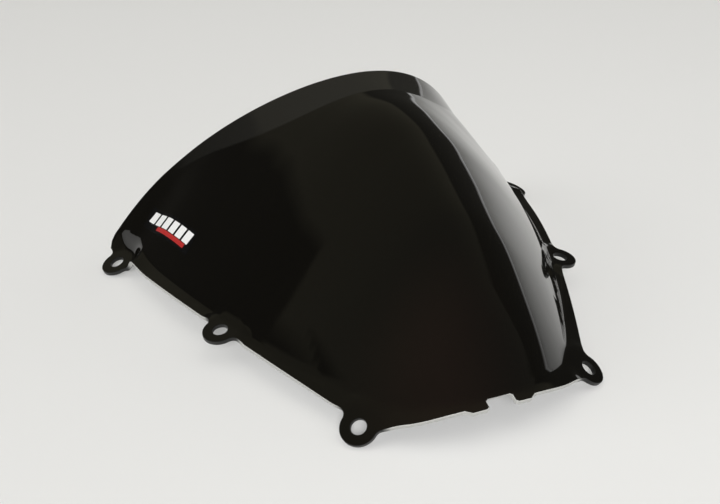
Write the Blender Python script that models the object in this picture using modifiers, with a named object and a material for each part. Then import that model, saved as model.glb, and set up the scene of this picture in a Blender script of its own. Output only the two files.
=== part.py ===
"""Windshield screen for a sport motorcycle: one sheet of smoked acrylic, formed and trimmed.

The sheet is laid out in a plan of its own: w runs out to either side from the centre line and f runs
forward from the line through the two rear screw holes, both in millimetres. Every point of the sheet's
middle surface gets its height from `sheet_height(w, f)`. The plan outline, the creases and the screw
holes of one half are joined up by a constrained triangulation, lifted to that height, mirrored and
thickened. The finished part stands on its front and rear ears with its nose towards -Y.
"""

import math

import bmesh
import bpy
import numpy as np
from mathutils import Matrix, Vector
from mathutils.geometry import delaunay_2d_cdt

MM = 0.001

# The sheet.
THICKNESS = 3.0
MESH_STEP = 8.5          # spacing of the surface points over the dome
DOME_FOOT = 8.0          # rise of a second line of points just above the crease
EDGE_STEP = 7.0          # spacing of the points along the outline and the creases
GRID_START, GRID_LENGTH, GRID_WIDTH = -30.0, 330.0, 180.0    # the surface points cover this
CENTRE_SNAP = 1e-5

# Trailing edge: f and height as even polynomials of q = w / 100.
TRAIL = (65.1, -70.8, 10.0)
TRAIL_HEIGHT = (144.0, -63.7, 1.84)
SHOULDER_W = 120.0       # the trailing edge turns a corner here
CORNER = (164.6, -22.4)  # rear end of the flange
CORNER_HEIGHT = 4.9
CORNER_RADIUS = 4.0
CORNER_INSET = (-1.2, 0.9)
SHOULDER_BOW = (-1.9, 2.0)   # how far the run from shoulder to corner bows in f and in height
TRAIL_PULL = 70.0        # the sheet is drawn to the trailing edge's height over this length

# Outer edge of the side flange: half width and height against y = f / 130 - 1.
SIDE_MID = 130.0
SIDE_WIDTH = (127.8, -47.2, -10.35, 1.7)
SIDE_HEIGHT = (9.7, -2.2, -8.3, 1.5)
SECTION_POWER = ((-30, 2.1), (90, 1.55), (180, 1.57), (250, 1.5), (290, 1.5))    # roundness of the flanks
SECTION_ROUND = 0.124    # and of the top

# Front edge: f and height against q = w / 80.
FRONT_MID = 80.0
FRONT_REACH = (281.2, -20.9, -7.7)
FRONT_HEIGHT = (15.5, -20.5, 6.5)

# Flange width and outward slope along f.
FLANGE_WIDTH = ((-25, 3.5), (-12, 7.5), (0, 11.0), (30, 8.5), (70, 7.0), (150, 7.5), (200, 8.0),
                (240, 9.0), (290, 9.0))
FLANGE_SLOPE = ((-25, 0.38), (0, 0.38), (60, 0.25), (130, 0.18), (200, 0.30), (250, 0.55), (290, 0.55))
REAR_END, FRONT_END = -25.0, 290.0   # the flange's curves hold between these
SIDE_STOP = 260.0                    # the side edge ends before this
FRONT_FLANGE = (4.6, 9.0, 60.0)      # width at the centre, gain, and the w where it has gained it
FRONT_SLOPE = (0.30, 0.60)           # slope at the centre and at the corner

# Spine of the dome: height at w = 0 without the front face, and the front face itself.
SPINE = ((-30, 130), (-16, 137), (4, 141), (25, 141.5), (45, 140.5), (65, 139), (88, 138.7), (110, 137.3),
         (130, 133.2), (150, 126), (175, 115.5), (200, 103.3), (236, 79), (280, 54))
FACE_SLOPE = 1.48
FACE_BEND = 0.0027
FLANGE_BLEND = 60.0      # the side flange turns into the front flange over this
CORNER_BLEND = 17.0      # blend between the flanks, the top and the front face
CREASE_BLEND = 3.0       # fillet where the dome leaves the flange
CREASE_HUB = 120.0       # the crease is found outwards from this f on the centre line,
CREASE_START = -47.0     # from this many degrees round to straight ahead,
CREASE_POINTS = 55
CREASE_SEARCH = (60.0, 260.0)        # between these distances

# Lip along the trailing edge.
LIP_WIDTH = 21.0
LIP_TAPER = 0.8
LIP_KICK = 0.30

# Ears: hole centre (w, f), height, and the direction its flat faces (out, forward, up).
EARS = {
    "rear": ((165.4, 0.0), -1.5, (0.35, 0.06, 0.935)),
    "middle": ((126.5, 137.6), 11.1, (0.18, 0.09, 0.98)),
    "front": ((77.5, 252.9), 0.95, (0.43, 0.37, 0.82)),
}
EAR_RADIUS = 11.75
EAR_FILLET = 5.0
HOLE_RADIUS = 5.0
HOLE_SIDES = 24
RING_SIDES = 16
EAR_FLAT = 13.0          # the ear is a true plane out to here
EAR_FADE = 24.0          # and has melted into the flange here
EAR_SIDES = 14           # sides round an ear's end, and round each of its fillets
FILLET_SIDES = 4
EDGES_AT = {"rear": (-14.0, 14.0), "middle": (123.0, 152.0), "front": (236.0, 66.0)}

# Label on the -X flank: a point on the plan, the way it runs, and how far the plan moves per mm up it.
LABEL_START = (-138.3, -0.7)
LABEL_ALONG = (0.220, 0.9755)
LABEL_CLIMB = 0.66
LABEL_GAP = 0.5
FILM_THICKNESS = 0.25
PRINT_GAP = 0.1
PRINT_THICKNESS = 0.15
FILM_AREA = ((0.0, 67.0), (-6.0, 9.0))     # (start, end) along the label, then up it
WHITE_AREA = ((3.0, 62.0), (-1.0, 7.0))
RED_AREA = ((18.0, 59.0), (-4.2, -1.4))
PRINT_SLANT = 0.35
LABEL_STEP = 4.0

# Notch in the middle of the front edge, with a small lug on each side.
NOTCH_HALF = 8.3
NOTCH_DEPTH = 4.2
LUG_OUT = 19.0
LUG_HEIGHT = 2.6


def stations(table, x):
    """Smooth curve through a table of (x, value) stations."""
    xs = np.array([row[0] for row in table], float)
    ys = np.array([row[1] for row in table], float)
    slope = np.gradient(ys, xs)
    x = np.clip(np.asarray(x, float), xs[0], xs[-1])
    i = np.clip(np.searchsorted(xs, x) - 1, 0, len(xs) - 2)
    h = xs[i + 1] - xs[i]
    t = (x - xs[i]) / h
    return ((2 * t**3 - 3 * t**2 + 1) * ys[i] + (t**3 - 2 * t**2 + t) * h * slope[i]
            + (3 * t**2 - 2 * t**3) * ys[i + 1] + (t**3 - t**2) * h * slope[i + 1])


def polynomial(coefficients, x):
    return sum(c * x**k for k, c in enumerate(coefficients))


def even_polynomial(coefficients, x):
    return polynomial(coefficients, np.asarray(x, float) ** 2)


def ramp(x):
    x = np.clip(x, 0.0, 1.0)
    return x * x * (3 - 2 * x)


def soft_min(a, b, k):
    h = np.maximum(k - np.abs(a - b), 0.0) / k
    return np.minimum(a, b) - h * h * k / 4


def soft_max(a, b, k):
    return -soft_min(-a, -b, k)


def side_half_width(f):
    return polynomial(SIDE_WIDTH, np.asarray(f, float) / SIDE_MID - 1)


def side_rate(f):
    return (side_half_width(f + 0.5) - side_half_width(f - 0.5))


def front_reach(w):
    return even_polynomial(FRONT_REACH, w / FRONT_MID)


def along_trail(w, top, corner, bow):
    """A value along the trailing edge: a curved top, then a nearly straight run from shoulder to corner."""
    curved = even_polynomial(top, np.minimum(w, SHOULDER_W) / 100)
    shoulder = even_polynomial(top, SHOULDER_W / 100)
    v = np.clip((w - SHOULDER_W) / (CORNER[0] - SHOULDER_W), 0, 1.2)
    return np.where(w < SHOULDER_W, curved, shoulder + (corner - shoulder) * v + bow * 4 * v * (1 - v))


def trailing_reach(w):
    return along_trail(w, TRAIL, CORNER[1], SHOULDER_BOW[0])


def trailing_height(w):
    return along_trail(w, TRAIL_HEIGHT, CORNER_HEIGHT, SHOULDER_BOW[1])


def section(x, power):
    """Drop of a cross section from its top at x = 0 to the crease at x = 1."""
    def drop(v):
        return (v * v + SECTION_ROUND**2) ** (power / 2)
    return (drop(x) - drop(0.0)) / (drop(1.0) - drop(0.0))


def flange_and_dome(w, f):
    """Height of the flange surface, and the rise of the dome over it: below zero out on the flange."""
    cos_side = 1 / np.sqrt(1 + side_rate(f) ** 2)
    from_side = (side_half_width(f) - w) * cos_side
    rate = front_reach(w + 0.5) - front_reach(w - 0.5)
    from_front = (front_reach(w) - f) / np.sqrt(1 + rate**2)

    q = np.minimum(w / FRONT_MID, 1.1)
    side_flange = stations(FLANGE_WIDTH, f)
    front_flange = FRONT_FLANGE[0] + FRONT_FLANGE[1] * np.minimum(w / FRONT_FLANGE[2], 1.4) ** 2
    front_slope = FRONT_SLOPE[0] + (FRONT_SLOPE[1] - FRONT_SLOPE[0]) * np.minimum(q, 1) ** 2
    side_base = (polynomial(SIDE_HEIGHT, np.clip(f, REAR_END, FRONT_END) / SIDE_MID - 1)
                 + stations(FLANGE_SLOPE, f) * np.minimum(from_side, side_flange))
    front_base = even_polynomial(FRONT_HEIGHT, q) + front_slope * np.minimum(from_front, front_flange)
    base = side_base + (front_base - side_base) * ramp((from_side - from_front) / FLANGE_BLEND + 0.5)

    crease = side_half_width(f) - side_flange / cos_side
    flank = (stations(SPINE, f) - base) * (1 - section(w / crease, stations(SECTION_POWER, f)))
    behind = from_front - front_flange
    face = FACE_SLOPE * behind - FACE_BEND * np.maximum(behind, 0) ** 2 / 2
    return base, soft_min(flank, face, CORNER_BLEND)


def lip_width(w):
    return LIP_WIDTH * np.maximum(1 - (w / SHOULDER_W) ** 2, 0.0) ** LIP_TAPER


def lip_rise(w, f):
    """The lip turns up from a straight crease that runs with the trailing edge."""
    rate = trailing_reach(w + 0.5) - trailing_reach(w - 0.5)
    behind = (f - trailing_reach(w)) / np.sqrt(1 + rate**2)
    return LIP_KICK * np.maximum(lip_width(w) - behind, 0.0)


def ear_frame(name):
    """Hole centre, unit normal, and the affine map from the ear's flat to the plan."""
    (w, f), height, normal = EARS[name]
    n = Vector(normal).normalized()
    tilt = math.hypot(n.x, n.y)
    out = np.array([n.x, n.y]) / tilt
    flatten = np.eye(2) - (1 - n.z) * np.outer(out, out)
    return np.array([w, f]), height, n, flatten


def pull_to_trail(w, f):
    """Correction that brings the sheet to the trailing edge's own height, fading forwards."""
    reach = trailing_reach(w)
    base, dome = flange_and_dome(w, reach)
    short = trailing_height(w) - base - soft_max(dome, 0.0, CREASE_BLEND) - lip_rise(w, reach)
    return short * ramp(1 - (f - reach) / TRAIL_PULL)


def sheet_height(w, f):
    """Height of the middle surface over the plan point (w, f), with w taken as positive."""
    w = np.abs(np.asarray(w, float))
    f = np.asarray(f, float)
    base, dome = flange_and_dome(w, f)
    base = base + pull_to_trail(w, f)
    for name in EARS:
        centre, height, n, flatten = ear_frame(name)
        delta = np.stack([w - centre[0], f - centre[1]], -1)
        spread = np.linalg.norm(delta @ np.linalg.inv(flatten).T, axis=-1)
        flat = height - (n.x * delta[..., 0] + n.y * delta[..., 1]) / n.z
        base = base + (flat - base) * ramp((EAR_FADE - spread) / (EAR_FADE - EAR_FLAT))
    return base + soft_max(dome, 0.0, CREASE_BLEND) + lip_rise(w, f)


def angle(v):
    return math.atan2(v[1], v[0])


def round_at(turn):
    return np.array([math.cos(turn), math.sin(turn)])


def arc(centre, radius, start, end, count):
    turn = (end - start + math.pi) % (2 * math.pi) - math.pi
    return [centre + radius * round_at(start + turn * i / count) for i in range(count + 1)]


def ear_outline(name, line_in, line_out):
    """Outline round one ear: fillet off the edge before it, the rounded end, fillet on to the edge after it.

    Each line is (a point on the edge, the direction of travel along it). The outline is walked from the
    rear to the front with the sheet on its left, and is worked out in the plane of the ear's flat.
    """
    centre, _, _, flatten = ear_frame(name)
    unfold = np.linalg.inv(flatten)
    parts = []
    for (point, along), sign in ((line_in, 1), (line_out, -1)):
        p = unfold @ (np.array(point) - centre)
        d = unfold @ np.array(along)
        d = d / np.linalg.norm(d)
        outward = np.array([d[1], -d[0]])
        offset = -(p @ outward)                     # how far the hole centre lies outside this edge
        reach = math.sqrt((EAR_RADIUS + EAR_FILLET) ** 2 - (EAR_FILLET - offset) ** 2)
        foot = -offset * outward - sign * reach * d
        hub = foot + EAR_FILLET * outward
        parts.append((foot, hub))
    (foot_in, hub_in), (foot_out, hub_out) = parts
    touch_in = hub_in * EAR_RADIUS / np.linalg.norm(hub_in)
    touch_out = hub_out * EAR_RADIUS / np.linalg.norm(hub_out)
    points = arc(hub_in, EAR_FILLET, angle(foot_in - hub_in), angle(touch_in - hub_in), FILLET_SIDES)
    start = angle(touch_in)
    sweep = (angle(touch_out) - start) % (2 * math.pi)
    points += [EAR_RADIUS * round_at(start + sweep * i / EAR_SIDES) for i in range(1, EAR_SIDES)]
    points += arc(hub_out, EAR_FILLET, angle(touch_out - hub_out), angle(foot_out - hub_out), FILLET_SIDES)
    return [centre + flatten @ p for p in points]


def along(curve, start, end, step):
    """Points at about `step` apart along curve(t), from t = start to t = end, both included."""
    t = np.linspace(start, end, 400)
    p = np.array([curve(v) for v in t])
    run = np.concatenate([[0], np.cumsum(np.linalg.norm(np.diff(p, axis=0), axis=1))])
    count = max(int(round(run[-1] / step)), 1)
    marks = np.linspace(0, run[-1], count + 1)
    return [curve(np.interp(m, run, t)) for m in marks]


def side_point(f):
    return np.array([float(side_half_width(f)), float(f)])


def front_point(w):
    return np.array([float(w), float(front_reach(w))])


def trailing_point(w):
    return np.array([float(w), float(trailing_reach(w))])


def side_line(f):
    d = side_point(f + 0.5) - side_point(f - 0.5)
    return side_point(f), d


def front_line(w):
    d = front_point(w - 0.5) - front_point(w + 0.5)
    return front_point(w), d


def nearest(curve, start, end, target):
    t = np.linspace(start, end, 600)
    return t[int(np.argmin([np.linalg.norm(curve(v) - target) for v in t]))]


def half_outline():
    """Plan outline of the right half, from the middle of the trailing edge round to the notch."""
    corner_turn = [trailing_point(CORNER[0] - CORNER_RADIUS), np.array(CORNER) + CORNER_INSET,
                   side_point(CORNER[1] + CORNER_RADIUS)]
    points = along(trailing_point, 0.0, SHOULDER_W, EDGE_STEP)
    points += along(trailing_point, SHOULDER_W, corner_turn[0][0], EDGE_STEP)[1:]
    points += corner_turn[1:]

    rear = ear_outline("rear", *(side_line(f) for f in EDGES_AT["rear"]))
    middle = ear_outline("middle", *(side_line(f) for f in EDGES_AT["middle"]))
    front = ear_outline("front", side_line(EDGES_AT["front"][0]), front_line(EDGES_AT["front"][1]))
    last = corner_turn[-1][1]
    for ear in (rear, middle, front):
        reach = nearest(side_point, REAR_END, SIDE_STOP, ear[0])
        if reach - last > EDGE_STEP:
            points += along(side_point, last, reach, EDGE_STEP)[1:-1]
        points += ear
        last = nearest(side_point, REAR_END, SIDE_STOP, ear[-1])
    start = nearest(front_point, 40, 80, front[-1])
    points += along(front_point, start, LUG_OUT + 4.0, EDGE_STEP)[1:]
    for w, out in ((LUG_OUT, LUG_HEIGHT), (NOTCH_HALF + 2.0, LUG_HEIGHT), (NOTCH_HALF, LUG_HEIGHT - 1.5),
                   (NOTCH_HALF, -NOTCH_DEPTH + 1.0), (NOTCH_HALF - 1.5, -NOTCH_DEPTH), (0.0, -NOTCH_DEPTH)):
        points.append(front_point(w) + (0.0, out))
    return np.array(points)


def hole_outline(name):
    centre, _, _, flatten = ear_frame(name)
    turns = [2 * math.pi * i / HOLE_SIDES for i in range(HOLE_SIDES)]
    return np.array([centre + flatten @ (HOLE_RADIUS * round_at(turn)) for turn in turns])


def crease_line(level=0.0):
    """Where the dome reaches `level` over the flange, found outwards from a point under the dome."""
    hub = np.array([0.0, CREASE_HUB])
    points = []
    for turn in np.radians(np.linspace(CREASE_START, 90.0, CREASE_POINTS)):
        low, high = CREASE_SEARCH
        for _ in range(40):
            middle = (low + high) / 2
            on_dome = flange_and_dome(*(hub + middle * round_at(turn)))[1] > level
            low, high = (middle, high) if on_dome else (low, middle)
        points.append(hub + low * round_at(turn))
    points[-1][0] = 0.0
    return np.array(points)


def lip_line():
    def at(w):
        rate = trailing_reach(w + 0.5) - trailing_reach(w - 0.5)
        return np.array([w, float(trailing_reach(w) + lip_width(w) * math.sqrt(1 + rate**2))])
    return np.array(along(at, 0.0, SHOULDER_W - 4.0, EDGE_STEP) + [trailing_point(SHOULDER_W)])


def inside(polygon, p):
    """True where each point of p lies in the polygon."""
    x, y = p[:, 0], p[:, 1]
    hit = np.zeros(len(p), bool)
    for a, b in zip(polygon, np.roll(polygon, -1, axis=0)):
        if a[1] == b[1]:
            continue
        cross = (a[1] > y) != (b[1] > y)
        hit ^= cross & (x < a[0] + (b[0] - a[0]) * (y - a[1]) / (b[1] - a[1]))
    return hit


def clearance(lines, p):
    """Distance from each point of p to the nearest of the polylines."""
    best = np.full(len(p), np.inf)
    for line in lines:
        for a, b in zip(line[:-1], line[1:]):
            d = b - a
            t = np.clip(((p - a) @ d) / max(d @ d, 1e-9), 0, 1)
            best = np.minimum(best, np.linalg.norm(p - a - t[:, None] * d, axis=1))
    return best


def plan_mesh(step, creases):
    """Triangles of the right half in plan: (points, faces)."""
    outline = half_outline()
    middle = along(lambda f: np.array([0.0, f]), outline[-1][1], outline[0][1], step)[1:-1]
    loop = np.vstack([outline, middle])
    holes = [hole_outline(name) for name in EARS]
    closed = [np.vstack([loop, loop[:1]])] + [np.vstack([h, h[:1]]) for h in holes]

    rows = []
    height = step * math.sqrt(3) / 2
    for j in range(int(GRID_LENGTH / height)):
        shift = (j % 2) * step / 2
        rows += [(shift + step * i, GRID_START + height * j) for i in range(1, int(GRID_WIDTH / step))]
    rings = []
    for name in EARS:
        centre, _, _, flatten = ear_frame(name)
        rings += [centre + flatten @ (EAR_RADIUS * round_at(turn))
                  for turn in np.linspace(0, 2 * math.pi, RING_SIDES, endpoint=False)]
    rings = np.array(rings)
    rings = rings[inside(loop, rings) & (clearance(closed + creases, rings) > 2.0)]
    grid = np.array(rows)
    grid = grid[inside(loop, grid) & (clearance(closed + creases, grid) > step * 0.5)]
    grid = grid[np.array([np.min(np.linalg.norm(rings - g, axis=1)) > step * 0.4 for g in grid])]

    points, edges = [], []
    for line in closed:
        first = len(points)
        points += list(line[:-1])
        count = len(line) - 1
        edges += [(first + i, first + (i + 1) % count) for i in range(count)]
    for line in creases:
        first = len(points)
        points += list(line)
        edges += [(first + i, first + i + 1) for i in range(len(line) - 1)]
    points += list(rings) + list(grid)
    made = delaunay_2d_cdt([Vector(p) for p in points], edges, [], 0, 1e-4)
    p = np.array([tuple(v) for v in made[0]])
    faces = np.array([tuple(face) for face in made[2]])
    middles = p[faces].mean(axis=1)
    keep = inside(loop, middles)
    for hole in holes:
        keep &= ~inside(hole, middles)
    return p, faces[keep]


def solid_sheet(name, points, faces, wall, offset, collection):
    """A named object: the surface through the points (w, f, height), thickened."""
    bm = bmesh.new()
    verts = [bm.verts.new((a * MM, -b * MM, c * MM)) for a, b, c in points]
    for face in faces:
        bm.faces.new([verts[i] for i in face])
    bmesh.ops.delete(bm, geom=[v for v in bm.verts if not v.link_faces], context="VERTS")
    mesh = bpy.data.meshes.new(name)
    bm.to_mesh(mesh)
    bm.free()
    thing = bpy.data.objects.new(name, mesh)
    collection.objects.link(thing)
    if offset == 0.0:
        mirror = thing.modifiers.new("other_half", "MIRROR")
        mirror.use_axis = (True, False, False)
        mirror.merge_threshold = CENTRE_SNAP
    thicken = thing.modifiers.new("thickness", "SOLIDIFY")
    thicken.thickness = wall * MM
    thicken.offset = offset
    thicken.use_even_offset = True
    thicken.use_quality_normals = True
    return thing


def make_shell(collection):
    p, faces = plan_mesh(MESH_STEP, [crease_line(), crease_line(DOME_FOOT), lip_line()])
    w = np.where(np.abs(p[:, 0]) < CENTRE_SNAP, 0.0, p[:, 0])
    points = np.column_stack([w, p[:, 1], sheet_height(w, p[:, 1])])
    return solid_sheet("screen_shell", points, faces[:, ::-1], THICKNESS, 0.0, collection)


def on_label(along_it, up_it, lift):
    """The point `lift` above the sheet's middle surface at a place on the label."""
    run = np.array(LABEL_ALONG)
    up = np.array([LABEL_ALONG[1], -LABEL_ALONG[0]])
    w, f = np.array(LABEL_START) + along_it * run + up_it * LABEL_CLIMB * up
    z = float(sheet_height(w, f))
    slope_w = float(sheet_height(w + 0.5, f)) - float(sheet_height(w - 0.5, f))
    slope_f = float(sheet_height(w, f + 0.5)) - float(sheet_height(w, f - 0.5))
    normal = np.array([-slope_w, -slope_f, 1.0])
    return np.array([w, f, z]) + lift * normal / np.linalg.norm(normal)


def make_label_piece(name, area, slant, lift, wall, collection):
    (start, end), (low, high) = area
    across = max(int(round((high - low) / LABEL_STEP)), 1)
    count = int(round((end - start) / LABEL_STEP))
    points, faces = [], []
    for i in range(count + 1):
        for j in range(across + 1):
            up = low + (high - low) * j / across
            lean = slant * (up - low)
            points.append(on_label(start + lean + (end - start) * i / count, up, lift))
    for i in range(count):
        for j in range(across):
            a = i * (across + 1) + j
            faces.append((a, a + 1, a + across + 2, a + across + 1))
    return solid_sheet(name, points, faces, wall, 1.0, collection)


def material(name, colour, roughness):
    m = bpy.data.materials.new(name)
    m.use_nodes = True
    shader = m.node_tree.nodes["Principled BSDF"]
    shader.inputs["Base Color"].default_value = (*colour, 1.0)
    shader.inputs["Roughness"].default_value = roughness
    m.diffuse_color = (*colour, 1.0)
    return m


def stand_on_ears(things):
    """Move the part so that it stands on z = 0 with its plan centred on the origin."""
    shell = things[0].evaluated_get(bpy.context.evaluated_depsgraph_get())
    corners = np.array([v.co for v in shell.data.vertices])
    low, high = corners.min(axis=0), corners.max(axis=0)
    shift = Matrix.Translation((0.0, -(low[1] + high[1]) / 2, -low[2]))
    for thing in things:
        thing.data.transform(shift)
    print("moved by (mm):", [round(v / MM, 3) for v in shift.translation])


def main():
    for thing in list(bpy.data.objects):
        bpy.data.objects.remove(thing)
    collection = bpy.data.collections.new("windshield_screen")
    bpy.context.scene.collection.children.link(collection)
    shell = make_shell(collection)
    shell.data.materials.append(material("smoked_acrylic", (0.012, 0.011, 0.010), 0.05))

    film_lift = THICKNESS / 2 + LABEL_GAP
    print_lift = film_lift + FILM_THICKNESS + PRINT_GAP
    film = make_label_piece("label_film", FILM_AREA, 0.0, film_lift, FILM_THICKNESS, collection)
    film.data.materials.append(material("label_black", (0.010, 0.010, 0.011), 0.35))
    white = make_label_piece("label_bar_white", WHITE_AREA, PRINT_SLANT, print_lift, PRINT_THICKNESS,
                             collection)
    white.data.materials.append(material("label_white", (0.80, 0.80, 0.80), 0.40))
    red = make_label_piece("label_bar_red", RED_AREA, PRINT_SLANT, print_lift, PRINT_THICKNESS, collection)
    red.data.materials.append(material("label_red", (0.55, 0.02, 0.02), 0.40))
    stand_on_ears([shell, film, white, red])


main()
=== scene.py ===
"""Looks of the smoked motorcycle windshield screen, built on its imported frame.

The sheet is made again as a fine mesh from the same shape rules as the part, in millimetres: w runs out to
either side, f forward. In the row frame X = w, Y = SHIFT_Y - f and Z = height + SHIFT_Z.
"""

import math

import bmesh
import bpy
import numpy as np
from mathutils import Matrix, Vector
from mathutils.geometry import delaunay_2d_cdt


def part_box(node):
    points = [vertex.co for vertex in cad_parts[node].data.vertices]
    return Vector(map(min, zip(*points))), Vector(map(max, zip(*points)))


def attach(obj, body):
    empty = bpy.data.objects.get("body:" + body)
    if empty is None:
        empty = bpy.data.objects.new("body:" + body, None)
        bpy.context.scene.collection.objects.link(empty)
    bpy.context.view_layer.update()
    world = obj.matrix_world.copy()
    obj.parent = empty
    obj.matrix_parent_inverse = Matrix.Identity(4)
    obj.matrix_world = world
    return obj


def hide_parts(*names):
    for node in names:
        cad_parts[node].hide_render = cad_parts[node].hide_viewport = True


MM = 0.001

# The sheet.
THICKNESS = 3.0
MESH_STEP = 3.6          # spacing of the surface points over the dome
EDGE_STEP = 2.4          # spacing of the points along the outline and the creases
FOOT_LEVELS = (-1.6, -0.5, 0.8, 2.5, 5.0)    # lines of points round the dome's foot, by rise
LIP_SIDES = (-0.8, 0.8)  # and on either side of the lip's crease
GRID_START, GRID_LENGTH, GRID_WIDTH = -30.0, 330.0, 180.0    # the surface points cover this
CENTRE_SNAP = 1e-5

# Trailing edge: f and height as even polynomials of q = w / 100.
TRAIL = (65.1, -70.8, 10.0)
TRAIL_HEIGHT = (144.0, -63.7, 1.84)
SHOULDER_W = 120.0       # the trailing edge turns a corner here
CORNER = (164.6, -22.4)  # rear end of the flange
CORNER_HEIGHT = 4.9
CORNER_RADIUS = 4.0
CORNER_INSET = (-1.2, 0.9)
SHOULDER_BOW = (-1.9, 2.0)   # how far the run from shoulder to corner bows in f and in height
TRAIL_PULL = 70.0        # the sheet is drawn to the trailing edge's height over this length

# Outer edge of the side flange: half width and height against y = f / 130 - 1.
SIDE_MID = 130.0
SIDE_WIDTH = (127.8, -47.2, -10.35, 1.7)
SIDE_HEIGHT = (9.7, -2.2, -8.3, 1.5)
SECTION_POWER = ((-30, 2.1), (90, 1.55), (180, 1.57), (250, 1.5), (290, 1.5))    # roundness of the flanks
SECTION_ROUND = 0.124    # and of the top

# Front edge: f and height against q = w / 80.
FRONT_MID = 80.0
FRONT_REACH = (281.2, -20.9, -7.7)
FRONT_HEIGHT = (15.5, -20.5, 6.5)

# Flange width and outward slope along f.
FLANGE_WIDTH = ((-25, 3.5), (-12, 7.5), (0, 11.0), (30, 8.5), (70, 7.0), (150, 7.5), (200, 8.0),
                (240, 9.0), (290, 9.0))
FLANGE_SLOPE = ((-25, 0.38), (0, 0.38), (60, 0.25), (130, 0.18), (200, 0.30), (250, 0.55), (290, 0.55))
REAR_END, FRONT_END = -25.0, 290.0   # the flange's curves hold between these
SIDE_STOP = 260.0                    # the side edge ends before this
FRONT_FLANGE = (4.6, 9.0, 60.0)      # width at the centre, gain, and the w where it has gained it
FRONT_SLOPE = (0.30, 0.60)           # slope at the centre and at the corner

# Spine of the dome: height at w = 0 without the front face, and the front face itself.
SPINE = ((-30, 130), (-16, 137), (4, 141), (25, 141.5), (45, 140.5), (65, 139), (88, 138.7), (110, 137.3),
         (130, 133.2), (150, 126), (175, 115.5), (200, 103.3), (236, 79), (280, 54))
FACE_SLOPE = 1.48
FACE_BEND = 0.0027
FLANGE_BLEND = 60.0      # the side flange turns into the front flange over this
CORNER_BLEND = 17.0      # blend between the flanks, the top and the front face
CREASE_BLEND = 3.0       # fillet where the dome leaves the flange
CREASE_HUB = 120.0       # the crease is found outwards from this f on the centre line,
CREASE_START = -47.0     # from this many degrees round to straight ahead,
CREASE_POINTS = 190
CREASE_SEARCH = (60.0, 260.0)        # between these distances

# Lip along the trailing edge.
LIP_WIDTH = 21.0
LIP_TAPER = 0.8
LIP_KICK = 0.30

# Ears: hole centre (w, f), height, and the direction its flat faces (out, forward, up).
EARS = {
    "rear": ((165.4, 0.0), -1.5, (0.35, 0.06, 0.935)),
    "middle": ((126.5, 137.6), 11.1, (0.18, 0.09, 0.98)),
    "front": ((77.5, 252.9), 0.95, (0.43, 0.37, 0.82)),
}
EAR_RADIUS = 11.75
EAR_FILLET = 5.0
HOLE_RADIUS = 5.0
HOLE_SIDES = 48
RING_SIDES = 36
EAR_FLAT = 13.0          # the ear is a true plane out to here
EAR_FADE = 24.0          # and has melted into the flange here
EAR_RISE = 7.0           # it leaves the dome alone once that has risen this far
EAR_SIDES = 32           # sides round an ear's end, and round each of its fillets
FILLET_SIDES = 10
EDGES_AT = {"rear": (-14.0, 14.0), "middle": (123.0, 152.0), "front": (236.0, 66.0)}

# Label on the -X flank: a point on the plan, the way it runs, and how far the plan moves per mm up it.
LABEL_START = (-138.3, -0.7)
LABEL_ALONG = (0.220, 0.9755)
LABEL_CLIMB = 0.66
FILM_AREA = ((0.0, 67.0), (-6.0, 9.0))     # (start, end) along the label, then up it
WHITE_AREA = ((3.0, 62.0), (-1.0, 7.0))
RED_AREA = ((18.0, 59.0), (-4.2, -1.4))
PRINT_SLANT = 0.35
LABEL_STEP = 1.5
FILM_GAP, FILM_WALL = 0.05, 0.12     # air under the film, and the film
PRINT_GAP, PRINT_WALL = 0.01, 0.04   # the same for the print on it
BARS, BAR_GAP = 6, 2.4               # the white print's bars and what shows between them

# Notch in the middle of the front edge, with a small lug on each side.
NOTCH_HALF = 8.3
NOTCH_DEPTH = 4.2
LUG_OUT = 19.0
LUG_HEIGHT = 2.6
LUG_APPROACH = 4.0       # the front edge is left this far outside a lug
LUG_INNER = 2.0          # a lug's top ends this far outside the notch
NOTCH_TURN = (1.5, 1.0)  # how the corners of the lugs and the notch are cut

# Meshing of the plan.
FRONT_SEARCH = (40, 80)  # the front edge leaves the front ear between these w
RING_CLEAR = 2.0         # ring points keep this far from edges and creases,
GRID_CLEAR = 0.5         # surface points this many steps,
GRID_FROM_RING = 0.4     # and this many steps from the rings
CREASE_HALVINGS = 40
LIP_LEAST = 0.6          # the lip's crease stays this far inside the trailing edge,
LIP_STOP = 5.0           # and ends this far before the shoulder
MERGE = 1e-4
NORMAL_REACH = 0.4       # normals are measured over this far to either side
ARRIS = 0.45             # softening of the cut edges
ARRIS_TURNS = (60.0, 30.0, 0.0)

# The shell's furthest f and lowest height in the plan. Its box in the row frame says where they lie.
PLAN_FRONT, PLAN_FOOT = 283.9615, -7.074

# Masks of painted light that the materials read. Pairs are (where a mask starts, how much further on it is
# full).
LIP_TIP = (2.0, 4.0)             # the lip's painted sheen, by the lip's width
LIP_FADE = 0.75                  # share of it lost at the shoulders
EDGE_FROM_EAR = (3.0, 6.0)       # the painted light on the cut edge, from the ears
EDGE_FROM_TRAIL = (4.0, 6.0)     # and from the trailing edge
GLOW_START, GLOW_LENGTH = 205.0, 50.0        # the painted warm glow at the front face's foot, along f
GLOW_CENTRE, GLOW_WIDTH = -30.0, 60.0        # and along w

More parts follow.
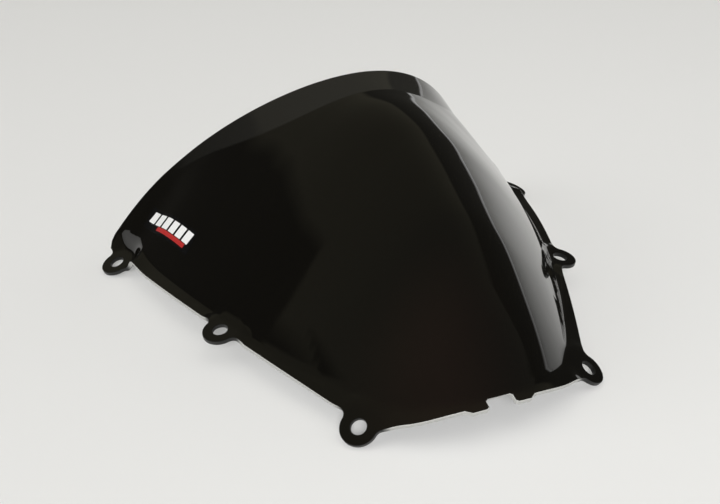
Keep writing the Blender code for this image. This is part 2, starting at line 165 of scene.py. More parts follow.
# Colours, noise as (scale, detail, roughness), and depths of bump in metres.
ACRYLIC_IOR = 1.49
ACRYLIC_TINT = (0.0022, 0.0019, 0.0014)
# Painted sheen: the lip's lighter colour stands in for light on the lip band.
LIP_PAINTED_SHEEN = (0.014, 0.0135, 0.012)
# Painted glow: a warm patch standing in for light coming through the sheet at the front foot, off-centre.
GLOW_PAINTED_LIGHT = (0.0062, 0.0038, 0.0026)
ACRYLIC_HAZE = (60.0, 4.0, 0.6)
ACRYLIC_HAZE_SPAN = (0.3, 0.7)
ACRYLIC_ROUGHNESS = (0.035, 0.065)
ACRYLIC_WAVES = (28.0, 1.0)
ACRYLIC_RIPPLE = 0.00002
# The light edge colour is painted light on the cut edge's thickness; the dark one is the sheet's own colour.
EDGE_DARK, EDGE_PAINTED_LIGHT = (0.006, 0.006, 0.0055), (0.52, 0.52, 0.50)
EDGE_GRAIN = (900.0, 3.0, 0.7)
EDGE_WEAR = (0.75, 1.0)
EDGE_ROUGHNESS = (0.28, 0.5)
EDGE_DEPTH = 0.00004
INK_CLOUDS = (400.0, 3.0)
VINYL_GRAIN = (3000.0, 1.0)
VINYL_DEPTH = 0.000006
FILM_INK = ((0.0022, 0.0022, 0.0026), (0.0034, 0.0034, 0.004), (0.10, 0.16))     # dark, light, roughness
WHITE_INK = ((0.72, 0.72, 0.72), (0.84, 0.84, 0.84), (0.35, 0.5))
RED_INK = ((0.33, 0.008, 0.008), (0.44, 0.016, 0.014), (0.35, 0.5))
FLOOR_DARK, FLOOR_LIGHT = (0.79, 0.79, 0.785), (0.81, 0.81, 0.805)
FLOOR_CLOUDS = (1.3, 3.0)
FLOOR_TOOTH = (700.0, 3.0, 0.6)
FLOOR_DEPTH = 0.00005
FLOOR_ROUGHNESS, FLOOR_SPECULAR = 0.75, 0.2
FLOOR_RADIUS, FLOOR_SIDES = 20.0, 96
FLOOR_DROP = -0.0002

# The room that the gloss mirrors.
WALL = (0.053, 0.051, 0.044)
WALL_TURN = 2.9                  # the wall's top steps where X + WALL_TURN * Y = 0
WALL_TOPS = (0.208, 0.454)       # as sines of the elevation
WALL_STEP = (-0.1, 0.1)
WALL_EDGE = (-0.03, 0.03)
CEILING_BACK, CEILING_FRONT = (0.17, 0.16, 0.12), (0.093, 0.09, 0.083)
CEILING_SPAN = (-0.8, 0.3)
WINDOW = (0.9, 0.9, 0.88)
WINDOW_BAND = (0.012, 0.03)
WINDOW_SIDE = (0.3, 0.5)

# Lamps, which the gloss doesn't mirror. The fills and the table lamp throw no shadow.
FILLS = (("ceiling_soft", (0.0, 0.0, 2.0), 0.35), ("left_soft", (-1.0, 0.1, 0.5), 0.8),
         ("right_soft", (1.0, -0.3, 0.5), 0.5))
FILL_ANGLE = 60
KEY_HEADING, KEY_STRENGTH, KEY_ANGLE = (-0.34, -0.81, 0.52), 1.9, 18.0
TABLE_PLACE, TABLE_TARGET, TABLE_POWER, TABLE_SIZE = (0.0, -1.0, 1.8), (0.05, -0.55, 0.0), 15.0, 1.6

CAMERA_LENS = 56.6
CAMERA_PLACE = (-0.2795, -0.6107, 0.4132)
CAMERA_HEADING = (0.3363, 0.8104, -0.4797)


def stations(table, x):
    """Smooth curve through a table of (x, value) stations."""
    xs = np.array([row[0] for row in table], float)
    ys = np.array([row[1] for row in table], float)
    slope = np.gradient(ys, xs)
    x = np.clip(np.asarray(x, float), xs[0], xs[-1])
    i = np.clip(np.searchsorted(xs, x) - 1, 0, len(xs) - 2)
    h = xs[i + 1] - xs[i]
    t = (x - xs[i]) / h
    return ((2 * t**3 - 3 * t**2 + 1) * ys[i] + (t**3 - 2 * t**2 + t) * h * slope[i]
            + (3 * t**2 - 2 * t**3) * ys[i + 1] + (t**3 - t**2) * h * slope[i + 1])


def polynomial(coefficients, x):
    return sum(c * x**k for k, c in enumerate(coefficients))


def even_polynomial(coefficients, x):
    return polynomial(coefficients, np.asarray(x, float) ** 2)


def ramp(x):
    x = np.clip(x, 0.0, 1.0)
    return x * x * (3 - 2 * x)


def soft_min(a, b, k):
    h = np.maximum(k - np.abs(a - b), 0.0) / k
    return np.minimum(a, b) - h * h * k / 4


def soft_max(a, b, k):
    return -soft_min(-a, -b, k)


def side_half_width(f):
    return polynomial(SIDE_WIDTH, np.asarray(f, float) / SIDE_MID - 1)


def side_rate(f):
    return (side_half_width(f + 0.5) - side_half_width(f - 0.5))


def front_reach(w):
    return even_polynomial(FRONT_REACH, w / FRONT_MID)


def along_trail(w, top, corner, bow):
    """A value along the trailing edge: a curved top, then a nearly straight run from shoulder to corner."""
    curved = even_polynomial(top, np.minimum(w, SHOULDER_W) / 100)
    shoulder = even_polynomial(top, SHOULDER_W / 100)
    v = np.clip((w - SHOULDER_W) / (CORNER[0] - SHOULDER_W), 0, 1.2)
    return np.where(w < SHOULDER_W, curved, shoulder + (corner - shoulder) * v + bow * 4 * v * (1 - v))


def trailing_reach(w):
    return along_trail(w, TRAIL, CORNER[1], SHOULDER_BOW[0])


def trailing_height(w):
    return along_trail(w, TRAIL_HEIGHT, CORNER_HEIGHT, SHOULDER_BOW[1])


def section(x, power):
    """Drop of a cross section from its top at x = 0 to the crease at x = 1."""
    def drop(v):
        return (v * v + SECTION_ROUND**2) ** (power / 2)
    return (drop(x) - drop(0.0)) / (drop(1.0) - drop(0.0))


def flange_and_dome(w, f):
    """Height of the flange surface, and the rise of the dome over it: below zero out on the flange."""
    cos_side = 1 / np.sqrt(1 + side_rate(f) ** 2)
    from_side = (side_half_width(f) - w) * cos_side
    rate = front_reach(w + 0.5) - front_reach(w - 0.5)
    from_front = (front_reach(w) - f) / np.sqrt(1 + rate**2)

    q = np.minimum(w / FRONT_MID, 1.1)
    side_flange = stations(FLANGE_WIDTH, f)
    front_flange = FRONT_FLANGE[0] + FRONT_FLANGE[1] * np.minimum(w / FRONT_FLANGE[2], 1.4) ** 2
    front_slope = FRONT_SLOPE[0] + (FRONT_SLOPE[1] - FRONT_SLOPE[0]) * np.minimum(q, 1) ** 2
    side_base = (polynomial(SIDE_HEIGHT, np.clip(f, REAR_END, FRONT_END) / SIDE_MID - 1)
                 + stations(FLANGE_SLOPE, f) * np.minimum(from_side, side_flange))
    front_base = even_polynomial(FRONT_HEIGHT, q) + front_slope * np.minimum(from_front, front_flange)
    base = side_base + (front_base - side_base) * ramp((from_side - from_front) / FLANGE_BLEND + 0.5)

    crease = side_half_width(f) - side_flange / cos_side
    flank = (stations(SPINE, f) - base) * (1 - section(w / crease, stations(SECTION_POWER, f)))
    behind = from_front - front_flange
    face = FACE_SLOPE * behind - FACE_BEND * np.maximum(behind, 0) ** 2 / 2
    return base, soft_min(flank, face, CORNER_BLEND)


def lip_width(w):
    return LIP_WIDTH * np.maximum(1 - (w / SHOULDER_W) ** 2, 0.0) ** LIP_TAPER


def lip_rise(w, f):
    """The lip turns up from a straight crease that runs with the trailing edge."""
    rate = trailing_reach(w + 0.5) - trailing_reach(w - 0.5)
    behind = (f - trailing_reach(w)) / np.sqrt(1 + rate**2)
    return LIP_KICK * np.maximum(lip_width(w) - behind, 0.0)


def ear_frame(name):
    """Hole centre, unit normal, and the affine map from the ear's flat to the plan."""
    (w, f), height, normal = EARS[name]
    n = Vector(normal).normalized()
    tilt = math.hypot(n.x, n.y)
    out = np.array([n.x, n.y]) / tilt
    flatten = np.eye(2) - (1 - n.z) * np.outer(out, out)
    return np.array([w, f]), height, n, flatten


def pull_to_trail(w, f):
    """Correction that brings the sheet to the trailing edge's own height, fading forwards."""
    reach = trailing_reach(w)
    base, dome = flange_and_dome(w, reach)
    short = trailing_height(w) - base - soft_max(dome, 0.0, CREASE_BLEND) - lip_rise(w, reach)
    return short * ramp(1 - (f - reach) / TRAIL_PULL)


def sheet_height(w, f):
    """Height of the middle surface over the plan point (w, f), with w taken as positive."""
    w = np.abs(np.asarray(w, float))
    f = np.asarray(f, float)
    base, dome = flange_and_dome(w, f)
    base = base + pull_to_trail(w, f)
    for name in EARS:
        centre, height, n, flatten = ear_frame(name)
        delta = np.stack([w - centre[0], f - centre[1]], -1)
        spread = np.linalg.norm(delta @ np.linalg.inv(flatten).T, axis=-1)
        flat = height - (n.x * delta[..., 0] + n.y * delta[..., 1]) / n.z
        near = ramp((EAR_FADE - spread) / (EAR_FADE - EAR_FLAT)) * ramp(1 - dome / EAR_RISE)
        base = base + (flat - base) * near
    return base + soft_max(dome, 0.0, CREASE_BLEND) + lip_rise(w, f)


def angle(v):
    return math.atan2(v[1], v[0])


def round_at(turn):
    return np.array([math.cos(turn), math.sin(turn)])


def arc(centre, radius, start, end, count):
    turn = (end - start + math.pi) % (2 * math.pi) - math.pi
    return [centre + radius * round_at(start + turn * i / count) for i in range(count + 1)]


def ear_outline(name, line_in, line_out):
    """Outline round one ear: fillet off the edge before it, the rounded end, fillet on to the edge after it.

    Each line is (a point on the edge, the direction of travel along it). The outline is walked from the
    rear to the front with the sheet on its left, and is worked out in the plane of the ear's flat.
    """
    centre, _, _, flatten = ear_frame(name)
    unfold = np.linalg.inv(flatten)
    parts = []
    for (point, along), sign in ((line_in, 1), (line_out, -1)):
        p = unfold @ (np.array(point) - centre)
        d = unfold @ np.array(along)
        d = d / np.linalg.norm(d)
        outward = np.array([d[1], -d[0]])
        offset = -(p @ outward)                     # how far the hole centre lies outside this edge
        reach = math.sqrt((EAR_RADIUS + EAR_FILLET) ** 2 - (EAR_FILLET - offset) ** 2)
        foot = -offset * outward - sign * reach * d
        hub = foot + EAR_FILLET * outward
        parts.append((foot, hub))
    (foot_in, hub_in), (foot_out, hub_out) = parts
    touch_in = hub_in * EAR_RADIUS / np.linalg.norm(hub_in)
    touch_out = hub_out * EAR_RADIUS / np.linalg.norm(hub_out)
    points = arc(hub_in, EAR_FILLET, angle(foot_in - hub_in), angle(touch_in - hub_in), FILLET_SIDES)
    start = angle(touch_in)
    sweep = (angle(touch_out) - start) % (2 * math.pi)
    points += [EAR_RADIUS * round_at(start + sweep * i / EAR_SIDES) for i in range(1, EAR_SIDES)]
    points += arc(hub_out, EAR_FILLET, angle(touch_out - hub_out), angle(foot_out - hub_out), FILLET_SIDES)
    return [centre + flatten @ p for p in points]


def along(curve, start, end, step):
    """Points at about `step` apart along curve(t), from t = start to t = end, both included."""
    t = np.linspace(start, end, 400)
    p = np.array([curve(v) for v in t])
    run = np.concatenate([[0], np.cumsum(np.linalg.norm(np.diff(p, axis=0), axis=1))])
    count = max(int(round(run[-1] / step)), 1)
    marks = np.linspace(0, run[-1], count + 1)
    return [curve(np.interp(m, run, t)) for m in marks]


def side_point(f):
    return np.array([float(side_half_width(f)), float(f)])


def front_point(w):
    return np.array([float(w), float(front_reach(w))])


def trailing_point(w):
    return np.array([float(w), float(trailing_reach(w))])


def side_line(f):
    d = side_point(f + 0.5) - side_point(f - 0.5)
    return side_point(f), d


def front_line(w):
    d = front_point(w - 0.5) - front_point(w + 0.5)
    return front_point(w), d


def nearest(curve, start, end, target):
    t = np.linspace(start, end, 600)
    return t[int(np.argmin([np.linalg.norm(curve(v) - target) for v in t]))]


def half_outline():
    """Plan outline of the right half, from the middle of the trailing edge round to the notch."""
    corner_turn = [trailing_point(CORNER[0] - CORNER_RADIUS), np.array(CORNER) + CORNER_INSET,
                   side_point(CORNER[1] + CORNER_RADIUS)]
    points = along(trailing_point, 0.0, SHOULDER_W, EDGE_STEP)
    points += along(trailing_point, SHOULDER_W, corner_turn[0][0], EDGE_STEP)[1:]
    points += corner_turn[1:]

    rear = ear_outline("rear", *(side_line(f) for f in EDGES_AT["rear"]))
    middle = ear_outline("middle", *(side_line(f) for f in EDGES_AT["middle"]))
    front = ear_outline("front", side_line(EDGES_AT["front"][0]), front_line(EDGES_AT["front"][1]))
    last = corner_turn[-1][1]
    for ear in (rear, middle, front):
        reach = nearest(side_point, REAR_END, SIDE_STOP, ear[0])
        if reach - last > EDGE_STEP:
            points += along(side_point, last, reach, EDGE_STEP)[1:-1]
        points += ear
        last = nearest(side_point, REAR_END, SIDE_STOP, ear[-1])
    start = nearest(front_point, *FRONT_SEARCH, front[-1])
    points += along(front_point, start, LUG_OUT + LUG_APPROACH, EDGE_STEP)[1:]
    turn, sink = NOTCH_TURN
    for w, out in ((LUG_OUT, LUG_HEIGHT), (NOTCH_HALF + LUG_INNER, LUG_HEIGHT),
                   (NOTCH_HALF, LUG_HEIGHT - turn), (NOTCH_HALF, -NOTCH_DEPTH + sink),
                   (NOTCH_HALF - turn, -NOTCH_DEPTH), (0.0, -NOTCH_DEPTH)):
        points.append(front_point(w) + (0.0, out))
    return np.array(points)


def hole_outline(name):
    centre, _, _, flatten = ear_frame(name)
    turns = [2 * math.pi * i / HOLE_SIDES for i in range(HOLE_SIDES)]
    return np.array([centre + flatten @ (HOLE_RADIUS * round_at(turn)) for turn in turns])


def crease_line(level):
    """Where the dome reaches `level` over the flange, found outwards from a point under the dome."""
    turn = np.radians(np.linspace(CREASE_START, 90.0, CREASE_POINTS))
    heading = np.column_stack([np.cos(turn), np.sin(turn)])
    low, high = (np.full(CREASE_POINTS, value) for value in CREASE_SEARCH)
    for _ in range(CREASE_HALVINGS):
        middle = (low + high) / 2
        on_dome = flange_and_dome(middle * heading[:, 0], CREASE_HUB + middle * heading[:, 1])[1] > level
        low, high = np.where(on_dome, middle, low), np.where(on_dome, high, middle)
    points = low[:, None] * heading + (0.0, CREASE_HUB)
    points[-1, 0] = 0.0
    return points


def lip_line(beside):
    """A line along the lip's crease, `beside` it."""
    def at(w):
        rate = trailing_reach(w + 0.5) - trailing_reach(w - 0.5)
        behind = max(float(lip_width(w)) + beside, LIP_LEAST)
        return np.array([w, float(trailing_reach(w)) + behind * math.sqrt(1 + rate**2)])
    return np.array(along(at, 0.0, SHOULDER_W - LIP_STOP, EDGE_STEP))


def inside(polygon, p):
    """True where each point of p lies in the polygon."""
    x, y = p[:, 0], p[:, 1]
    hit = np.zeros(len(p), bool)
    for a, b in zip(polygon, np.roll(polygon, -1, axis=0)):
        if a[1] == b[1]:
            continue
        cross = (a[1] > y) != (b[1] > y)
        hit ^= cross & (x < a[0] + (b[0] - a[0]) * (y - a[1]) / (b[1] - a[1]))
    return hit


def clearance(lines, p):
    """Distance from each point of p to the nearest of the polylines."""
    best = np.full(len(p), np.inf)
    for line in lines:
        for a, b in zip(line[:-1], line[1:]):
            d = b - a
            t = np.clip(((p - a) @ d) / max(d @ d, 1e-9), 0, 1)
            best = np.minimum(best, np.linalg.norm(p - a - t[:, None] * d, axis=1))
    return best


def plan_mesh(step, creases):
    """Triangles of the right half in plan: (points, faces)."""
    outline = half_outline()
    middle = along(lambda f: np.array([0.0, f]), outline[-1][1], outline[0][1], step)[1:-1]
    loop = np.vstack([outline, middle])
    holes = [hole_outline(name) for name in EARS]
    closed = [np.vstack([loop, loop[:1]])] + [np.vstack([h, h[:1]]) for h in holes]

    rows = []
    height = step * math.sqrt(3) / 2
    for j in range(int(GRID_LENGTH / height)):
        shift = (j % 2) * step / 2
        rows += [(shift + step * i, GRID_START + height * j) for i in range(1, int(GRID_WIDTH / step))]
    rings = []
    for name in EARS:
        centre, _, _, flatten = ear_frame(name)
        rings += [centre + flatten @ (EAR_RADIUS * round_at(turn))
                  for turn in np.linspace(0, 2 * math.pi, RING_SIDES, endpoint=False)]
    rings = np.array(rings)
    rings = rings[inside(loop, rings) & (clearance(closed + creases, rings) > RING_CLEAR)]
    grid = np.array(rows)
    grid = grid[inside(loop, grid) & (clearance(closed + creases, grid) > step * GRID_CLEAR)]
    grid = grid[np.array([np.min(np.linalg.norm(rings - g, axis=1)) > step * GRID_FROM_RING
                          for g in grid])]

    points, edges = [], []
    for line in closed:
        first = len(points)
        points += list(line[:-1])
        count = len(line) - 1
        edges += [(first + i, first + (i + 1) % count) for i in range(count)]
    for line in creases:
        first = len(points)
        points += list(line)
        edges += [(first + i, first + i + 1) for i in range(len(line) - 1)]
    points += list(rings) + list(grid)
    made = delaunay_2d_cdt([Vector(p) for p in points], edges, [], 0, MERGE)
    p = np.array([tuple(v) for v in made[0]])
    faces = np.array([tuple(face) for face in made[2]])
    middles = p[faces].mean(axis=1)
    keep = inside(loop, middles)
    for hole in holes:
        keep &= ~inside(hole, middles)
    return p, faces[keep]


def on_label(along_it, up_it, lift):
    """The point `lift` above the sheet's middle surface at a place on the label."""
    run = np.array(LABEL_ALONG)
    up = np.array([LABEL_ALONG[1], -LABEL_ALONG[0]])
    w, f = np.array(LABEL_START) + along_it * run + up_it * LABEL_CLIMB * up
    z = float(sheet_height(w, f))
    slope_w = float(sheet_height(w + 0.5, f)) - float(sheet_height(w - 0.5, f))
    slope_f = float(sheet_height(w, f + 0.5)) - float(sheet_height(w, f - 0.5))
    normal = np.array([-slope_w, -slope_f, 1.0])
    return np.array([w, f, z]) + lift * normal / np.linalg.norm(normal)


def surface_normals(w, f):
    """Unit normals of the middle surface, pointing up, over signed plan points."""
    reach = NORMAL_REACH
    along_w = (sheet_height(w + reach, f) - sheet_height(w - reach, f)) / (2 * reach)
    along_f = (sheet_height(w, f + reach) - sheet_height(w, f - reach)) / (2 * reach)
    n = np.column_stack([-along_w, -along_f, np.ones_like(along_w)])
    return n / np.linalg.norm(n, axis=1)[:, None]


def to_row(v):
    """Plan directions (w, f, up) as row-frame directions."""
    return v * (1.0, -1.0, 1.0)


def whole_plan():
    """Plan mesh of the whole sheet: the right half and its mirror, joined on the centre line."""
    creases = [crease_line(level) for level in FOOT_LEVELS] + [lip_line(beside) for beside in LIP_SIDES]
    p, faces = plan_mesh(MESH_STEP, creases)
    used = np.unique(faces)
    place = np.full(len(p), -1)
    place[used] = np.arange(len(used))
    p, faces = p[used], place[faces]
    p[np.abs(p[:, 0]) < CENTRE_SNAP, 0] = 0.0
    off_centre = np.flatnonzero(p[:, 0] > 0.0)
    twin = np.arange(len(p))
    twin[off_centre] = len(p) + np.arange(len(off_centre))
    both = np.vstack([p, p[off_centre] * (-1.0, 1.0)])
    return both, np.vstack([faces[:, ::-1], twin[faces]])


def rim_edges(faces):
    """Edges with a face on one side only, in that face's direction."""
    directed = {(a, b) for face in faces for a, b in zip(face, np.roll(face, -1))}
    return sorted((a, b) for a, b in directed if (b, a) not in directed)


def masks(p):
    """What the materials read over the plan: the painted warm glow at the front foot, the lip's painted
    sheen, and where the cut edge gets painted light.
    """
    w, f = np.abs(p[:, 0]), p[:, 1]
    behind = f - trailing_reach(w)
    rate = trailing_reach(w + 0.5) - trailing_reach(w - 0.5)
    width = lip_width(w)
    # The lip mask places a painted sheen on the lip band.
    lip = ramp((width - behind / np.sqrt(1 + rate**2)) / LIP_SIDES[1] / 2 + 0.5)
    lip = lip * ramp((width - LIP_TIP[0]) / LIP_TIP[1]) * (1 - LIP_FADE * (w / SHOULDER_W) ** 2)
    # Painted glow of light through the sheet at the front foot.
    painted_glow = (ramp((f - GLOW_START) / GLOW_LENGTH)
            * ramp(1 - np.abs(p[:, 0] - GLOW_CENTRE) / GLOW_WIDTH))
    ears = np.array([ear_frame(name)[0] for name in EARS])
    from_ear = np.min(np.linalg.norm(np.column_stack([w, f])[:, None] - ears, axis=2), axis=1)
    # Where the cut edge gets painted light: clear of the ears and the trailing edge.
    painted_edge_light = (ramp((from_ear - EAR_RADIUS - EDGE_FROM_EAR[0]) / EDGE_FROM_EAR[1])
                  * ramp((behind - EDGE_FROM_TRAIL[0]) / EDGE_FROM_TRAIL[1]))
    return {"painted_glow": painted_glow, "lip": lip, "painted_edge_light": painted_edge_light}


def make_sheet():
    """The formed sheet: outer and inner surface, and a rim with softened arrises."""
    p, faces = whole_plan()
    w, f = p[:, 0], p[:, 1]
    up = to_row(surface_normals(w, f))
    middle = np.column_stack([w, SHIFT_Y - f, sheet_height(w, f) + SHIFT_Z])

    edges = rim_edges(faces)
    outward = np.zeros_like(middle)
    for a, b in edges:
        outward[[a, b]] += np.cross(middle[b] - middle[a], up[a])
    rim = np.unique(np.array(edges))
    outward[rim] -= up[rim] * np.sum(outward[rim] * up[rim], axis=1)[:, None]
    outward[rim] /= np.linalg.norm(outward[rim], axis=1)[:, None]

    half = THICKNESS / 2
    inset = middle - ARRIS * outward
    rows, normals = [inset + half * up], [up]
    place = np.full(len(p), -1)
    place[rim] = np.arange(len(rim))
    for side in (1, -1):
        for turn in np.radians(ARRIS_TURNS[::side]):
            level = side * (half - ARRIS) * up[rim] + side * ARRIS * math.sin(turn) * up[rim]
            rows.append(inset[rim] + ARRIS * math.cos(turn) * outward[rim] + level)
            normals.append(math.cos(turn) * outward[rim] + side * math.sin(turn) * up[rim])
    rows.append(inset - half * up)
    normals.append(-up)
    starts = np.cumsum([0] + [len(row) for row in rows])

    def vert(row, i):
        return int(starts[row] + (i if row in (0, len(rows) - 1) else place[i]))

    outer = [tuple(int(i) for i in face) for face in faces]
    inner = [tuple(int(starts[-2] + i) for i in face[::-1]) for face in faces]
    cut = [(vert(row, b), vert(row, a), vert(row + 1, a), vert(row + 1, b))
           for a, b in edges for row in range(len(rows) - 1)]
    mesh = bpy.data.meshes.new("screen_sheet")
    mesh.from_pydata([tuple(v) for v in np.vstack(rows) * MM], [], outer + inner + cut)
    mesh.polygons.foreach_set("material_index", [0] * (2 * len(outer)) + [1] * len(cut))
    mesh.shade_smooth()
    mesh.normals_split_custom_set_from_vertices([tuple(n) for n in np.vstack(normals)])

    for name, values in masks(p).items():
        mask = mesh.attributes.new(name, "FLOAT", "POINT")
        levels = [values] + [values[rim]] * (len(rows) - 2) + [values]
        mask.data.foreach_set("value", np.concatenate(levels))
    sheet = bpy.data.objects.new("screen_sheet", mesh)
    bpy.context.scene.collection.objects.link(sheet)
    return sheet


def label_point(along_it, up_it, lift):
    """A place on the label in the row frame, in metres."""
    return Vector(to_row(on_label(along_it, up_it, lift)) + (0.0, SHIFT_Y, SHIFT_Z)) * MM


def label_patch(name, blocks, slant, lift, wall):
    """Thin closed plates on the label: each block is ((start, end), (low, high)) along and up the label."""
    bm = bmesh.new()
    for (start, end), (low, high) in blocks:
        count = max(int(round((end - start) / LABEL_STEP)), 1)
        across = max(int(round((high - low) / LABEL_STEP)), 1)
        layers = []
        for level in (lift, lift + wall):
            columns = []
            for i in range(count + 1):
                ups = [(high - low) * j / across for j in range(across + 1)]
                columns.append([bm.verts.new(label_point(start + (end - start) * i / count + slant * up,
                                                         low + up, level)) for up in ups])
            layers.append(columns)
        for i in range(count):
            for j in range(across):
                for layer, flip in zip(layers, (1, -1)):
                    face = [layer[i][j], layer[i][j + 1], layer[i + 1][j + 1], layer[i + 1][j]]
                    bm.faces.new(face[::flip])
        ring = ([(i, 0) for i in range(count)] + [(count, j) for j in range(across)]
                + [(i, across) for i in range(count, 0, -1)] + [(0, j) for j in range(across, 0, -1)])
        under, over = layers
        for (a, b), (c, d) in zip(ring, ring[1:] + ring[:1]):
            bm.faces.new([under[a][b], under[c][d], over[c][d], over[a][b]])
    bmesh.ops.recalc_face_normals(bm, faces=bm.faces)
    mesh = bpy.data.meshes.new(name)
    bm.to_mesh(mesh)
    bm.free()
    patch = bpy.data.objects.new(name, mesh)
    bpy.context.scene.collection.objects.link(patch)
    return patch


def node(tree, kind, links=(), **settings):
    """A shader node with its settings, and links as (its input, another node's output)."""
    made = tree.nodes.new(kind)
    for key, value in settings.items():
        setattr(made, key, value)
    for socket, source in links:
        tree.links.new(source, made.inputs[socket])
    return made


def noise(tree, place, scale, detail=2.0, rough=0.5):
    made = node(tree, "ShaderNodeTexNoise", [("Vector", place)])
    made.inputs["Scale"].default_value = scale
    made.inputs["Detail"].default_value = detail
    made.inputs["Roughness"].default_value = rough
    return made.outputs["Fac"]


def spread(tree, value, low, high, start=0.0, end=1.0):
    made = node(tree, "ShaderNodeMapRange", [("Value", value)])
    made.inputs["From Min"].default_value = start
    made.inputs["From Max"].default_value = end
    made.inputs["To Min"].default_value = low
    made.inputs["To Max"].default_value = high
    return made.outputs["Result"]


def blend(tree, amount, first, second):
    made = node(tree, "ShaderNodeMix", [("Factor", amount)], data_type="RGBA")
    made.inputs["A"].default_value = (*first, 1.0)
    made.inputs["B"].default_value = (*second, 1.0)
    return made.outputs["Result"]


def bump(tree, height, distance):
    made = node(tree, "ShaderNodeBump", [("Height", height)])
    made.inputs["Distance"].default_value = distance
    made.inputs["Strength"].default_value = 1.0
    return made.outputs["Normal"]


def new_material(name):
    made = bpy.data.materials.new(name)
    made.use_nodes = True
    tree = made.node_tree
    place = node(tree, "ShaderNodeTexCoord").outputs["Object"]
    return made, tree, tree.nodes["Principled BSDF"], place


def acrylic():
    """Polished smoked acrylic: nearly black, with a painted sheen on the lip and a painted warm glow of
    light through the sheet at its front foot, and faint forming ripple and haze."""
    made, tree, shader, place = new_material("smoked_acrylic_gloss")
    lip = node(tree, "ShaderNodeAttribute", attribute_name="lip").outputs["Fac"]
    painted_glow = node(tree, "ShaderNodeAttribute", attribute_name="painted_glow").outputs["Fac"]
    # Base colour: the smoked tint, with a painted warm glow at the front foot and a painted sheen on the
    # lip.
    tint_and_painted_light = node(tree, "ShaderNodeMix", [("Factor", lip), ("A", blend(tree, painted_glow, ACRYLIC_TINT, GLOW_PAINTED_LIGHT))],
                data_type="RGBA")
    tint_and_painted_light.inputs["B"].default_value = (*LIP_PAINTED_SHEEN, 1.0)
    tree.links.new(tint_and_painted_light.outputs["Result"], shader.inputs["Base Color"])
    haze = spread(tree, noise(tree, place, *ACRYLIC_HAZE), *ACRYLIC_ROUGHNESS, *ACRYLIC_HAZE_SPAN)
    tree.links.new(haze, shader.inputs["Roughness"])
    ripple = noise(tree, place, *ACRYLIC_WAVES)
    tree.links.new(bump(tree, ripple, ACRYLIC_RIPPLE), shader.inputs["Normal"])
    shader.inputs["IOR"].default_value = ACRYLIC_IOR
    return made


def cut_edge():
    """Routed and flame-polished edge: duller than the faces, with a fine grain; its light grey is painted
    light, kept off near the ears and the trailing edge.
    """
    made, tree, shader, place = new_material("smoked_acrylic_cut_edge")
    grain = noise(tree, place, *EDGE_GRAIN)
    painted_light_mask = node(tree, "ShaderNodeAttribute", attribute_name="painted_edge_light").outputs["Fac"]
    # The edge's light grey is painted light, with random grain through it.
    painted_light_and_wear = node(tree, "ShaderNodeMath", [(0, painted_light_mask), (1, spread(tree, grain, *EDGE_WEAR))],
                operation="MULTIPLY")
    tree.links.new(blend(tree, painted_light_and_wear.outputs[0], EDGE_DARK, EDGE_PAINTED_LIGHT), shader.inputs["Base Color"])
    tree.links.new(spread(tree, grain, *EDGE_ROUGHNESS), shader.inputs["Roughness"])
    tree.links.new(bump(tree, grain, EDGE_DEPTH), shader.inputs["Normal"])
    shader.inputs["IOR"].default_value = ACRYLIC_IOR
    return made


def film(name, dark, light, roughness):
    """Printed vinyl: slightly uneven ink over a fine calendered grain."""
    made, tree, shader, place = new_material(name)
    ink = noise(tree, place, *INK_CLOUDS)
    tree.links.new(blend(tree, ink, dark, light), shader.inputs["Base Color"])
    grain = noise(tree, place, *VINYL_GRAIN)
    tree.links.new(spread(tree, grain, *roughness), shader.inputs["Roughness"])
    tree.links.new(bump(tree, grain, VINYL_DEPTH), shader.inputs["Normal"])
    return made


def floor_paper():
    made, tree, shader, place = new_material("pale_paper")
    tone = noise(tree, place, *FLOOR_CLOUDS)
    tree.links.new(blend(tree, tone, FLOOR_DARK, FLOOR_LIGHT), shader.inputs["Base Color"])
    tooth = noise(tree, place, *FLOOR_TOOTH)
    tree.links.new(bump(tree, tooth, FLOOR_DEPTH), shader.inputs["Normal"])
    shader.inputs["Roughness"].default_value = FLOOR_ROUGHNESS
    shader.inputs["Specular IOR Level"].default_value = FLOOR_SPECULAR
    return made


def make_floor():
    bm = bmesh.new()
    bmesh.ops.create_circle(bm, cap_ends=True, segments=FLOOR_SIDES, radius=FLOOR_RADIUS)
    mesh = bpy.data.meshes.new("floor")
    bm.to_mesh(mesh)
    bm.free()
    floor = bpy.data.objects.new("floor", mesh)
    floor.location = (0.0, 0.0, FLOOR_DROP)
    bpy.context.scene.collection.objects.link(floor)
    floor.data.materials.append(floor_paper())


def add_light(name, kind, place, target, energy, **settings):
    data = bpy.data.lights.new(name, kind)
    data.energy = energy
    for key, value in settings.items():
        setattr(data, key, value)
    lamp = bpy.data.objects.new(name, data)
    lamp.location = place
    lamp.rotation_mode = "QUATERNION"
    lamp.rotation_quaternion = (Vector(target) - Vector(place)).to_track_quat("-Z", "Y")
    lamp.visible_glossy = False
    bpy.context.scene.collection.objects.link(lamp)


def make_lights():
    middle = (0.0, 0.0, 0.0)
    for name, heading, strength in FILLS:
        add_light(name, "SUN", heading, middle, strength, angle=math.radians(FILL_ANGLE), use_shadow=False)
    add_light("front_key", "SUN", KEY_HEADING, middle, KEY_STRENGTH, angle=math.radians(KEY_ANGLE))
    add_light("table_soft", "AREA", TABLE_PLACE, TABLE_TARGET, TABLE_POWER, shape="DISK", size=TABLE_SIZE,
              use_shadow=False)


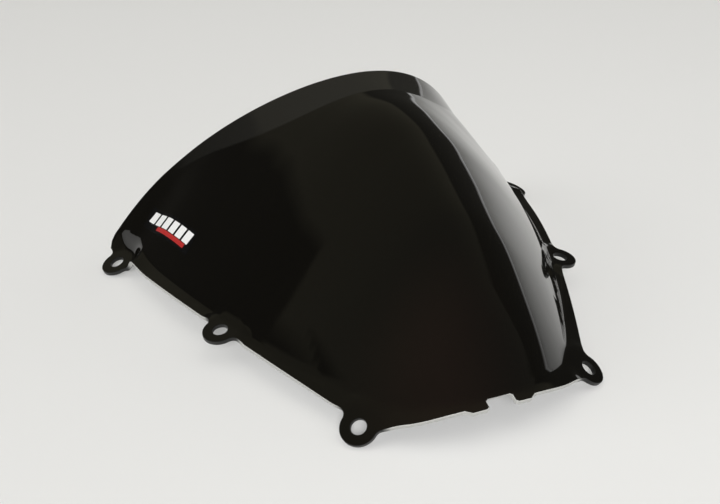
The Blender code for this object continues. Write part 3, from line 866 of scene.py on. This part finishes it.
def make_world():
    """A dim room: a brighter ceiling, a dark low wall that steps up to one side, and a pale far window."""
    world = bpy.data.worlds.new("room")
    world.use_nodes = True
    tree = world.node_tree

    def maths(kind, first, second):
        made = tree.nodes.new("ShaderNodeMath")
        made.operation = kind
        for socket, value in zip(made.inputs, (first, second)):
            if isinstance(value, float):
                socket.default_value = value
            else:
                tree.links.new(value, socket)
        return made.outputs[0]

    heading = node(tree, "ShaderNodeTexCoord").outputs["Generated"]
    parts = node(tree, "ShaderNodeSeparateXYZ", [("Vector", heading)])
    x, y, z = (parts.outputs[axis] for axis in "XYZ")
    side = spread(tree, maths("ADD", x, maths("MULTIPLY", y, WALL_TURN)), *WALL_TOPS,
                  *WALL_STEP)
    above = spread(tree, maths("SUBTRACT", z, side), 0.0, 1.0, *WALL_EDGE)
    forward = spread(tree, y, 0.0, 1.0, *CEILING_SPAN)
    upper = node(tree, "ShaderNodeMix", [("Factor", forward)], data_type="RGBA")
    upper.inputs["A"].default_value = (*CEILING_FRONT, 1.0)
    upper.inputs["B"].default_value = (*CEILING_BACK, 1.0)
    room = node(tree, "ShaderNodeMix", [("Factor", above), ("B", upper.outputs["Result"])],
                data_type="RGBA")
    room.inputs["A"].default_value = (*WALL, 1.0)
    band = maths("MULTIPLY", spread(tree, maths("ABSOLUTE", z, 0.0), 1.0, 0.0, *WINDOW_BAND),
                 spread(tree, x, 0.0, 1.0, *WINDOW_SIDE))
    lit = node(tree, "ShaderNodeMix", [("Factor", band), ("A", room.outputs["Result"])], data_type="RGBA")
    lit.inputs["B"].default_value = (*WINDOW, 1.0)
    tree.links.new(lit.outputs["Result"], tree.nodes["Background"].inputs["Color"])
    bpy.context.scene.world = world


def make_camera():
    data = bpy.data.cameras.new("camera")
    data.lens = CAMERA_LENS
    camera = bpy.data.objects.new("camera", data)
    camera.location = CAMERA_PLACE
    camera.rotation_mode = "QUATERNION"
    camera.rotation_quaternion = Vector(CAMERA_HEADING).to_track_quat("-Z", "Y")
    bpy.context.scene.collection.objects.link(camera)
    bpy.context.scene.camera = camera


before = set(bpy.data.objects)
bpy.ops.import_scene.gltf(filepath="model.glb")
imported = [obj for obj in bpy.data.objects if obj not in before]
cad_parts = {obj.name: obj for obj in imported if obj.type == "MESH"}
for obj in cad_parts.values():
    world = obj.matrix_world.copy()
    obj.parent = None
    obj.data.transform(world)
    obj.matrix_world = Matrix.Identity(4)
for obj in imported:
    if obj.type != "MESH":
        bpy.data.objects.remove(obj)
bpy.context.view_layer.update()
shell_low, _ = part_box("screen_shell")
SHIFT_Y = shell_low[1] / MM + PLAN_FRONT
SHIFT_Z = shell_low[2] / MM - PLAN_FOOT

sheet = make_sheet()
sheet.data.materials.append(acrylic())
sheet.data.materials.append(cut_edge())
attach(sheet, "root")
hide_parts("screen_shell")

film_lift = THICKNESS / 2 + FILM_GAP
print_lift = film_lift + FILM_WALL + PRINT_GAP
label = label_patch("label_sheet", [FILM_AREA], 0.0, film_lift, FILM_WALL)
label.data.materials.append(film("label_black_vinyl", *FILM_INK))
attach(label, "root")
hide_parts("label_film")

(white_start, white_end), white_span = WHITE_AREA
pitch = (white_end - white_start + BAR_GAP) / BARS
bars = [((white_start + pitch * i, white_start + pitch * (i + 1) - BAR_GAP), white_span)
        for i in range(BARS)]
white = label_patch("label_white_print", bars, PRINT_SLANT, print_lift, PRINT_WALL)
white.data.materials.append(film("label_white_ink", *WHITE_INK))
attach(white, "root")
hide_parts("label_bar_white")

red = label_patch("label_red_print", [RED_AREA], PRINT_SLANT, print_lift, PRINT_WALL)
red.data.materials.append(film("label_red_ink", *RED_INK))
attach(red, "root")
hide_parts("label_bar_red")

make_floor()
make_world()
make_lights()
make_camera()
bpy.context.scene.view_settings.view_transform = "Standard"
